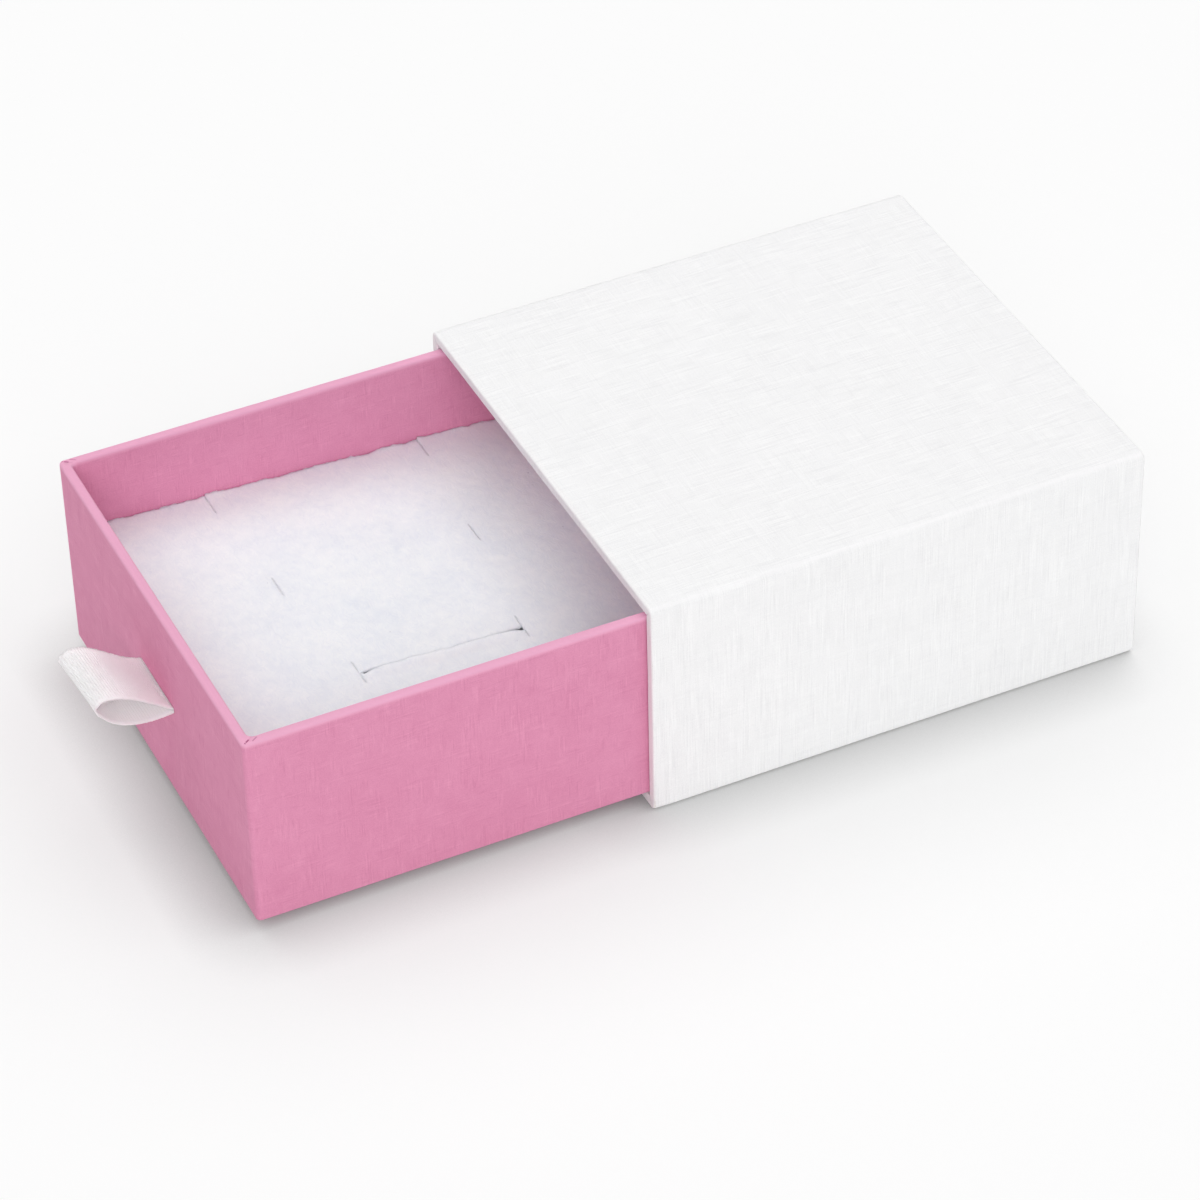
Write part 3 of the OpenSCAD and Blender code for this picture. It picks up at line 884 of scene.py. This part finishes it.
def parted_by_slits(place, inside):
    """How the plain slits move a point of the flock: hair-thin, with soft lips.

    inside is a point of the cloth beside it. Where a slit meets the wall, one lip stands up.
    """
    move = Vector()
    for middle, along, length, opening in SLITS:
        share = (place - middle).dot(along) / (length / 2)
        if opening == 0 or abs(share) > SLIT_END:
            continue
        across = Z.cross(along)
        gap = abs((place - middle).dot(across))
        side = math.copysign(1, (inside - middle).dot(across))
        shut = max(0.0, 1 - share**2) ** 0.5
        move += across * side * opening * shut * math.exp(-gap / PARTING_REACH)
        lip = LIP_RISE * (math.exp(-gap / LIP_REACH) - shut * math.exp(-gap / LIP_DIP_REACH))
        if middle.x == FLOCK_LOW.x and side > 0:
            from_wall = (place.x - FLOCK_LOW.x) / WALL_LIP_LENGTH
            lip += WALL_LIP_RISE * math.exp(-gap / WALL_LIP_REACH - from_wall)
        move += Z * lip * max(0.0, 1 - (share / SLIT_END) ** 2)
    return move


def parted_by_slot(place, inside):
    """How the long slot moves a point of the flock: shut along its middle, gaping at its cross cuts."""
    share = abs(inside.y - PAD_MIDDLE_Y) / LONG_SLOT_HALF
    gap = place.x - LONG_SLOT_X
    if share > 1 or abs(gap) > LONG_SLOT_REACH:
        return Vector()
    side = math.copysign(1, inside.x - LONG_SLOT_X)
    gaping, swell = (pair[0 if side > 0 else 1] for pair in (LONG_SLOT_GAPING, LONG_SLOT_SWELL))
    held = (1 - (gap / LONG_SLOT_REACH) ** 2) ** 2
    wander = noise.noise(Vector((0, place.y, 0)) / LONG_SLOT_WAVE)
    opening = LONG_SLOT_PARTING * (1 + wander / 2) + gaping * share**8
    bow = LONG_SLOT_BOW * (1 - share**2) + LONG_SLOT_WANDER * wander
    roll_depth, roll_reach = LONG_SLOT_ROLL
    roll = roll_depth * math.exp(-abs(gap) / roll_reach)
    rise = swell * held * (1 - 0.6 * share**4) - roll - LONG_SLOT_DIP * held * share**6
    return Vector(((side * opening + bow) * held, 0, rise))


def snapped(places, wanted):
    """Evenly spaced places, warped so that some of them fall on the wanted ones."""
    nearest = [min(places, key=lambda p: abs(p - want)) for want in wanted]
    pairs = sorted(set(zip(nearest, wanted)) | {(places[0], places[0]), (places[-1], places[-1])})
    return np.interp(places, [old for old, new in pairs], [new for old, new in pairs])


def flock_shape():
    """A fine flat grid the size of the pad, split open along the slits."""
    shape = bmesh.new()
    size = FLOCK_HIGH - FLOCK_LOW
    cells = [round(size.x / FLOCK_CELL), round(size.y / FLOCK_CELL)]
    bmesh.ops.create_grid(shape, x_segments=cells[0], y_segments=cells[1], size=0.5)
    for axis, along in ((0, Y), (1, X)):
        places = sorted({round(vert.co[axis], 6) for vert in shape.verts})
        real = [FLOCK_LOW[axis] + (place + 0.5) * size[axis] for place in places]
        wanted = sorted({m[axis] for m, way, length, opening in SLITS if way == along} - {FLOCK_LOW.x})
        moved = dict(zip(places, snapped(real, wanted)))
        for vert in shape.verts:
            vert.co[axis] = moved[round(vert.co[axis], 6)]
    for middle, along, length, opening in SLITS:
        across = Z.cross(along)
        on_slit = [
            edge for edge in shape.edges
            if all(
                abs((v.co - middle).dot(across)) < 1e-6 and abs((v.co - middle).dot(along)) < length / 2
                for v in edge.verts
            )
        ]
        bmesh.ops.split_edges(shape, edges=on_slit)
    return shape


def hem_move(flat):
    """How a point near the pad's edge moves out to the wall, or in at a rounded corner."""
    middle, half = (FLOCK_LOW + FLOCK_HIGH) / 2, (FLOCK_HIGH - FLOCK_LOW) / 2
    beyond = Vector((0, 0, 0))
    for i in (0, 1):
        aside = flat[i] - middle[i]
        beyond[i] = max(0.0, abs(aside) - half[i] + PAD_ROUND) * math.copysign(1, aside)
    if beyond.x and beyond.y:
        return beyond * (max(abs(beyond.x), abs(beyond.y)) / beyond.length - 1)
    return beyond / PAD_ROUND * HEM_SPREAD * (1 + 0.3 * noise.noise(flat / (0.9 * MM)))


def flock_sheet():
    """The flocked sheet: matted and uneven, its cuts parted, its edges ragged against the walls."""
    shape = flock_shape()
    moves = []
    for vert in shape.verts:
        inside = sum((f.calc_center_median() for f in vert.link_faces), Vector()) / len(vert.link_faces)
        flat = Vector((vert.co.x, vert.co.y, 0))
        move = parted_by_slits(flat, inside) + parted_by_slot(flat, inside) + hem_move(flat)
        moves.append(move + Z * flock_height(flat.x, flat.y))
    for vert, move in zip(shape.verts, moves):
        vert.co += move
    piece = finished("flock_sheet", shape, FLOCK, "drawer", "flocked_top")
    thickened(piece, FLOCK_THICK, -1)
    return piece


FIBRES = 260
EDGE_FIBRES = 300
FIBRE_RADIUS = 0.014 * MM
FIBRE_STEPS = 4


def drawn_fibre(draw, by_edge, at_front):
    """A fibre drawn by lot: its start, heading, length, lift and bend."""
    x = draw.uniform(FLOCK_LOW.x, FLOCK_HIGH.x)
    y = draw.uniform(FLOCK_LOW.y, FLOCK_HIGH.y)
    heading = draw.uniform(0, 2 * math.pi)
    length = draw.uniform(0.8, 3.0) * MM
    lift = draw.uniform(0.0, 0.05) * MM
    if by_edge:
        x = FLOCK_LOW.x + draw.uniform(0, 0.3) * MM
        heading = draw.choice((-1, 1)) * draw.uniform(1.0, 1.57)
        length *= 0.5
        lift = draw.uniform(0.05, 0.3) * MM
    if at_front:
        x = draw.uniform(FLOCK_LOW.x, FLOCK_HIGH.x)
        y = FLOCK_LOW.y + draw.uniform(0, 0.3) * MM
        heading -= math.pi / 2
    return x, y, heading, length, lift, draw.uniform(-1.3, 1.3)


def laid_fibre(spline, x, y, heading, length, lift, bend):
    """Lays a curled fibre on the flock, its middle lifted off."""
    spline.points.add(FIBRE_STEPS)
    for i, point in enumerate(spline.points):
        raised = lift * math.sin(math.pi * i / FIBRE_STEPS)
        point.co = (x, y, flock_height(x, y) + raised + FIBRE_RADIUS / 2, 1)
        x = min(max(x + math.cos(heading) * length / FIBRE_STEPS, FLOCK_LOW.x), FLOCK_HIGH.x)
        y = min(max(y + math.sin(heading) * length / FIBRE_STEPS, FLOCK_LOW.y), FLOCK_HIGH.y)
        heading += bend / FIBRE_STEPS


def flock_fibres():
    """Loose fibres: curled on the flock's surface, and standing out along its edges."""
    draw = random.Random(11)
    curve = bpy.data.curves.new("flock_fibres", "CURVE")
    curve.dimensions = "3D"
    curve.bevel_depth = FIBRE_RADIUS
    curve.bevel_resolution = 0
    curve.use_fill_caps = True
    for index in range(FIBRES + EDGE_FIBRES):
        by_edge = index >= FIBRES
        fibre = drawn_fibre(draw, by_edge, at_front=by_edge and index % 3 == 0)
        laid_fibre(curve.splines.new("POLY"), *fibre)
    curve.materials.append(FLOCK)
    piece = placed("flock_fibres", curve)
    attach(piece, "drawer")
    return piece


FOAM_CELL = 3 * MM
FOAM_WAVES = {"size": 4 * MM, "height": 0.12 * MM, "seed": 5}
LONG_SLOT_WIDTH = 1.8 * MM
POCKET_ROOM = 0.3 * MM


def slit_open(shape, middle, along, length):
    """Cuts one slit down into the foam, short of the foam's side."""
    across = X if along == Y else Y
    width = LONG_SLOT_WIDTH if along == Y else CUT_WIDTH
    reach = length - CUT_WIDTH if along == Y else length
    half = along * reach / 2 + across * width / 2
    top = Vector((0, 0, FOAM_HIGH.z))
    low, high = middle - half + top, middle + half + top
    low.x = max(low.x, FOAM_LOW.x + CUT_WIDTH)
    pushed(shape, window(shape, low, high, Z), -Z * SLIT_DEPTH)


def foam_block():
    """The foam under the flock: its slits, and a pocket for the ribbon's tails."""
    shape = box_shape(FOAM_LOW, FOAM_HIGH)
    rounded(shape, edges_along(shape, Z), PAD_ROUND, segments=3)
    for middle, along, length, opening in SLITS:
        slit_open(shape, middle, along, length)
    low = Vector((PATCH_LOW.x - POCKET_ROOM, FOAM_LOW.y, PATCH_LOW.z - POCKET_ROOM))
    high = Vector((PATCH_HIGH.x + POCKET_ROOM, FOAM_LOW.y, SLOT_Z + SLOT_HEIGHT / 2 + POCKET_ROOM))
    pocket_depth = PATCH_HIGH.y + POCKET_ROOM - FOAM_LOW.y
    pushed(shape, window(shape, low, high, -Y), Y * pocket_depth)
    divided(shape, FOAM_LOW, FOAM_HIGH, FOAM_CELL)
    wavered(shape, **FOAM_WAVES)
    for vert in shape.verts:
        back = (vert.co.y - FOAM_LOW.y) / (FOAM_HIGH.y - FOAM_LOW.y)
        up = (vert.co.z - FOAM_LOW.z) / (FOAM_HIGH.z - FOAM_LOW.z)
        vert.co.z -= PAD_RISE * back * up
    piece = finished("foam_block", shape, FOAM, "drawer", "foam_pad")
    evenly_lit(piece)
    return piece


# ---- Ribbon ----

# The loop's curve handles, as shares of its reach and rise from the slot's middle
LOOP_CREST = ((0.6, 1.03), (0.85, 0.99))
LOOP_NOSE = ((1.0, 0.96), (1.03, 0.76), (0.93, 0.57))
LOOP_LOWER = ((0.77, 0.05), (0.45, -0.17))

# The loop's reach, rise and first handle, along each edge of the ribbon
NEAR_LOOP = (11.45 * MM, 5.5 * MM, (0.31, 0.5))
FAR_LOOP = (12.2 * MM, 5.8 * MM, (0.34, 0.22))

CURVE_STEPS = 24
CIRCLE_HANDLE = 0.55
TAIL_BEND = 0.5 * MM
RIBBON_ROWS = 640
RIBBON_COLUMNS = 26
RIBBON_SHELL = 0.8
RIB_HEIGHT = 0.042 * MM
BORDER_FROM = 0.44
BORDER_RIB = 0.35
EDGE_CURL = 0.12 * MM
RIBBON_WANDER = 0.05 * MM
EDGE_FRAY = 0.07 * MM


def curve_points(handles):
    """The points of a Bezier curve after its first."""
    return geometry.interpolate_bezier(*handles, CURVE_STEPS)[1:]


def loop_handle(share, reach, rise):
    """A curve handle of the loop, from its shares of the reach and the rise."""
    return Vector((0, DRAWER_LOW.y - share[0] * reach, SLOT_Z + share[1] * rise))


def tail_bend(y, z):
    """A quarter turn from a tail up into the slot."""
    corner, start, end = Vector((0, y, z)), Vector((0, y, z - TAIL_BEND)), Vector((0, y - TAIL_BEND, z))
    return [start, start.lerp(corner, CIRCLE_HANDLE), end.lerp(corner, CIRCLE_HANDLE), end]


def ribbon_route(reach, rise, first):
    """The ribbon's middle line, in Y and Z, from one tail out round the loop and back to the other."""
    ply = (RIBBON_THICK + PLY_GAP) / 2
    lower_y = DRAWER_LOW.y + DRAWER_WALL + TAIL_GLUE + RIBBON_THICK / 2
    upper_y = lower_y + 2 * ply
    upper_out = Vector((0, DRAWER_LOW.y, SLOT_Z + ply))
    lower_out = Vector((0, DRAWER_LOW.y, SLOT_Z - ply))
    upper, nose, lower = (
        [loop_handle(share, reach, rise) for share in part]
        for part in ((first, *LOOP_CREST), LOOP_NOSE, LOOP_LOWER)
    )
    upper_bend = tail_bend(upper_y, SLOT_Z + ply)
    lower_bend = tail_bend(lower_y, SLOT_Z - ply)
    return [
        Vector((0, upper_y, RIBBON_LOW.z)), upper_bend[0], *curve_points(upper_bend), upper_out,
        *curve_points([upper_out, *upper]), *curve_points([upper[2], *nose]),
        *curve_points([nose[2], *lower, lower_out]),
        *reversed([lower_bend[0], *curve_points(lower_bend)]), Vector((0, lower_y, RIBBON_LOW.z)),
    ]


def evenly_spaced(route, count):
    """Points at even distances along a route, and the route's length."""
    steps = [0.0]
    for a, b in zip(route, route[1:]):
        steps.append(steps[-1] + (b - a).length)
    wanted = np.linspace(0, steps[-1], count)
    columns = [np.interp(wanted, steps, [p[axis] for p in route]) for axis in range(3)]
    return [Vector(p) for p in zip(*columns)], steps[-1]


def woven_place(across, row, line, length):
    """A point of the ribbon's weave: its ribs, its curled and frayed edges and its slight wander.

    across is its share of the width, and line the middle line's points before, at and after its row.
    """
    out = X.cross((line[2] - line[0]).normalized())
    rib = RIB_HEIGHT * math.sin(2 * math.pi * row / RIBBON_ROWS * length / RIB_PITCH)
    if abs(across - 0.5) > BORDER_FROM:
        rib *= BORDER_RIB
    curl = EDGE_CURL * abs(2 * across - 1) ** 3
    wander = RIBBON_WANDER * noise.noise(Vector((row / 9, across * 1.5, 0)))
    frayed = EDGE_FRAY * (2 * across - 1) ** 7 * noise.noise(Vector((row / 3.5, across, 5)))
    x = RIBBON_LOW.x + (RIBBON_HIGH.x - RIBBON_LOW.x) * across
    return X * (x + wander + frayed) + line[1] + out * (rib + wander - curl)


def ribbon_loop():
    """One ribbon folded into a loop: woven with cross ribs, and its far edge longer than its near one."""
    near, near_length = evenly_spaced(ribbon_route(*NEAR_LOOP), RIBBON_ROWS + 1)
    far, far_length = evenly_spaced(ribbon_route(*FAR_LOOP), RIBBON_ROWS + 1)
    length = (near_length + far_length) / 2
    shape = bmesh.new()
    shape.loops.layers.uv.new("UVMap")
    bmesh.ops.create_grid(
        shape, x_segments=RIBBON_COLUMNS, y_segments=RIBBON_ROWS, size=0.5, calc_uvs=True
    )
    for vert in shape.verts:
        across, row = vert.co.x + 0.5, round((vert.co.y + 0.5) * RIBBON_ROWS)
        rows = (max(row - 1, 0), row, min(row + 1, RIBBON_ROWS))
        vert.co = woven_place(across, row, [far[i].lerp(near[i], across) for i in rows], length)
    piece = finished(
        "ribbon_loop", shape, ribbon_material(length), "drawer", "ribbon_pull"
    )
    thickened(piece, RIBBON_THICK * RIBBON_SHELL, 0)
    return piece


# ---- Stage ----

CAMERA_PLACE = Vector((0.51391, -0.26492, 0.46951))
CAMERA_AIM = Vector((-0.0097, -0.0261, 0.0))
CAMERA_ROLL = math.radians(-1.53)
CAMERA_LENS = 146.25
CAMERA_SENSOR = 36.0
FLOOR_SIZE = 6.0
FILL = 0.15

# Each sun's strength, the way its light comes from and its spread in degrees
LIGHTS = {
    "back_left_light": (1.09, Vector((-0.42, 0.25, 1.0)), 48),
    "right_light": (1.235, Vector((0.9, -0.3, 0.6)), 40),
    "front_right_light": (0.3, Vector((0.5, -0.6, 0.7)), 50),
    "back_right_light": (0.53, Vector((0.5, 0.6, 0.7)), 50),
    "front_left_light": (0.61, Vector((-0.6, -0.5, 0.7)), 50),
}

# The floor that is looked at: its share of real light, the shares and reaches of its contact shade, and the
# way that this shade looks for what is above it, which leans to the rear
FLOOR_LIT = 0.29
FLOOR_SHADES = ((0.49, 12 * MM), (0.2, 50 * MM))
FLOOR_LEAN = {"Y": 0.42, "Z": 0.907}
FLOOR_ROUGHNESS = 0.9
SHADE_SAMPLES = 6


def looked_at(tree):
    """1 for what the camera, a reflection or a clear material looks straight at, or else 0."""
    path = add(tree, "LightPath").outputs
    seen = calc(tree, "MAXIMUM", path["Is Camera Ray"], path["Is Glossy Ray"])
    return calc(tree, "MAXIMUM", seen, path["Is Transmission Ray"])


def floor():
    """A plain white floor that the box stands on.

    What lights the box is a white floor under real light. What is looked at is the same floor with part of
    its shadow as plain contact shade, so that the pink of the tray doesn't colour it.
    """
    shape = bmesh.new()
    bmesh.ops.create_grid(shape, x_segments=1, y_segments=1, size=FLOOR_SIZE / 2)
    material, tree, shader, place = new_material("floor", roughness=FLOOR_ROUGHNESS, specular=0.0)
    shader.inputs["Base Color"].default_value = (0.97, 0.97, 0.97, 1)
    shade = 0.0
    lean = add(tree, "CombineXYZ", FLOOR_LEAN).outputs[0]
    for share, reach in FLOOR_SHADES:
        inputs = {"Distance": reach, "Normal": lean}
        clear = add(tree, "AmbientOcclusion", inputs, samples=SHADE_SAMPLES).outputs["AO"]
        shade = calc(tree, "MULTIPLY_ADD", clear, share, shade)
    inputs = {
        "Base Color": (FLOOR_LIT, FLOOR_LIT, FLOOR_LIT, 1), "Roughness": FLOOR_ROUGHNESS,
        "Specular IOR Level": 0.0, "Emission Color": (1, 1, 1, 1), "Emission Strength": shade,
    }
    grey_shadow = add(tree, "BsdfPrincipled", inputs)
    inputs = {0: looked_at(tree), 1: shader.outputs[0], 2: grey_shadow.outputs[0]}
    mixed = add(tree, "MixShader", inputs)
    tree.links.new(mixed.outputs[0], tree.nodes["Material Output"].inputs["Surface"])
    placed("floor", mesh_of("floor", shape, material))


def world():
    """Even fill light, and a white background for what looks straight at it."""
    sky = bpy.data.worlds.new("studio")
    sky.use_nodes = True
    tree = sky.node_tree
    strength = calc(tree, "MULTIPLY_ADD", looked_at(tree), 1 - FILL, FILL)
    tree.links.new(strength, tree.nodes["Background"].inputs["Strength"])
    tree.nodes["Background"].inputs["Color"].default_value = (1, 1, 1, 1)
    bpy.context.scene.world = sky


def sun(name, energy, way, spread):
    """A broad soft light that comes from a way, as strong everywhere."""
    lamp = bpy.data.lights.new(name, "SUN")
    lamp.energy = energy
    lamp.angle = math.radians(spread)
    light = placed(name, lamp)
    light.rotation_mode = "QUATERNION"
    light.rotation_quaternion = way.to_track_quat("Z", "Y")


def camera():
    """The photo's long lens, from the front right and above."""
    lens = bpy.data.cameras.new("camera")
    lens.lens = CAMERA_LENS
    lens.sensor_width = CAMERA_SENSOR
    eye = placed("camera", lens)
    eye.location = CAMERA_PLACE
    eye.rotation_mode = "QUATERNION"
    level = (CAMERA_AIM - CAMERA_PLACE).to_track_quat("-Z", "Y")
    eye.rotation_quaternion = level @ Quaternion((0, 0, 1), CAMERA_ROLL)
    bpy.context.scene.camera = eye


# ---- The whole box ----

CAD_FINISHES = (
    (GREYBOARD, ("sleeve_top_board", "sleeve_bottom_board", "sleeve_left_board", "sleeve_right_board")),
    (GREYBOARD, ("sleeve_back_board", "drawer_base_board", "drawer_front_board", "drawer_back_board")),
    (GREYBOARD, ("drawer_left_board", "drawer_right_board")),
    (TAPE, ("sleeve_edge_tapes", "drawer_corner_tapes")),
    (LINING, ("sleeve_lining",)),
    (WHITE_LINEN, ("sleeve_back_sheet",)),
    (PINK_LINEN, ("drawer_base_liner", "ribbon_tail_patch")),
)

bpy.context.scene.view_settings.view_transform = "Standard"
floor()
world()
for name, settings in LIGHTS.items():
    sun(name, *settings)
camera()

for material, nodes in CAD_FINISHES:
    for node in nodes:
        mesh = frame["nodes"][node].data
        mesh.materials.clear()
        mesh.materials.append(material)

sleeve_paper()
drawer_paper()
foam_block()
flock_sheet()
flock_fibres()
ribbon_loop()
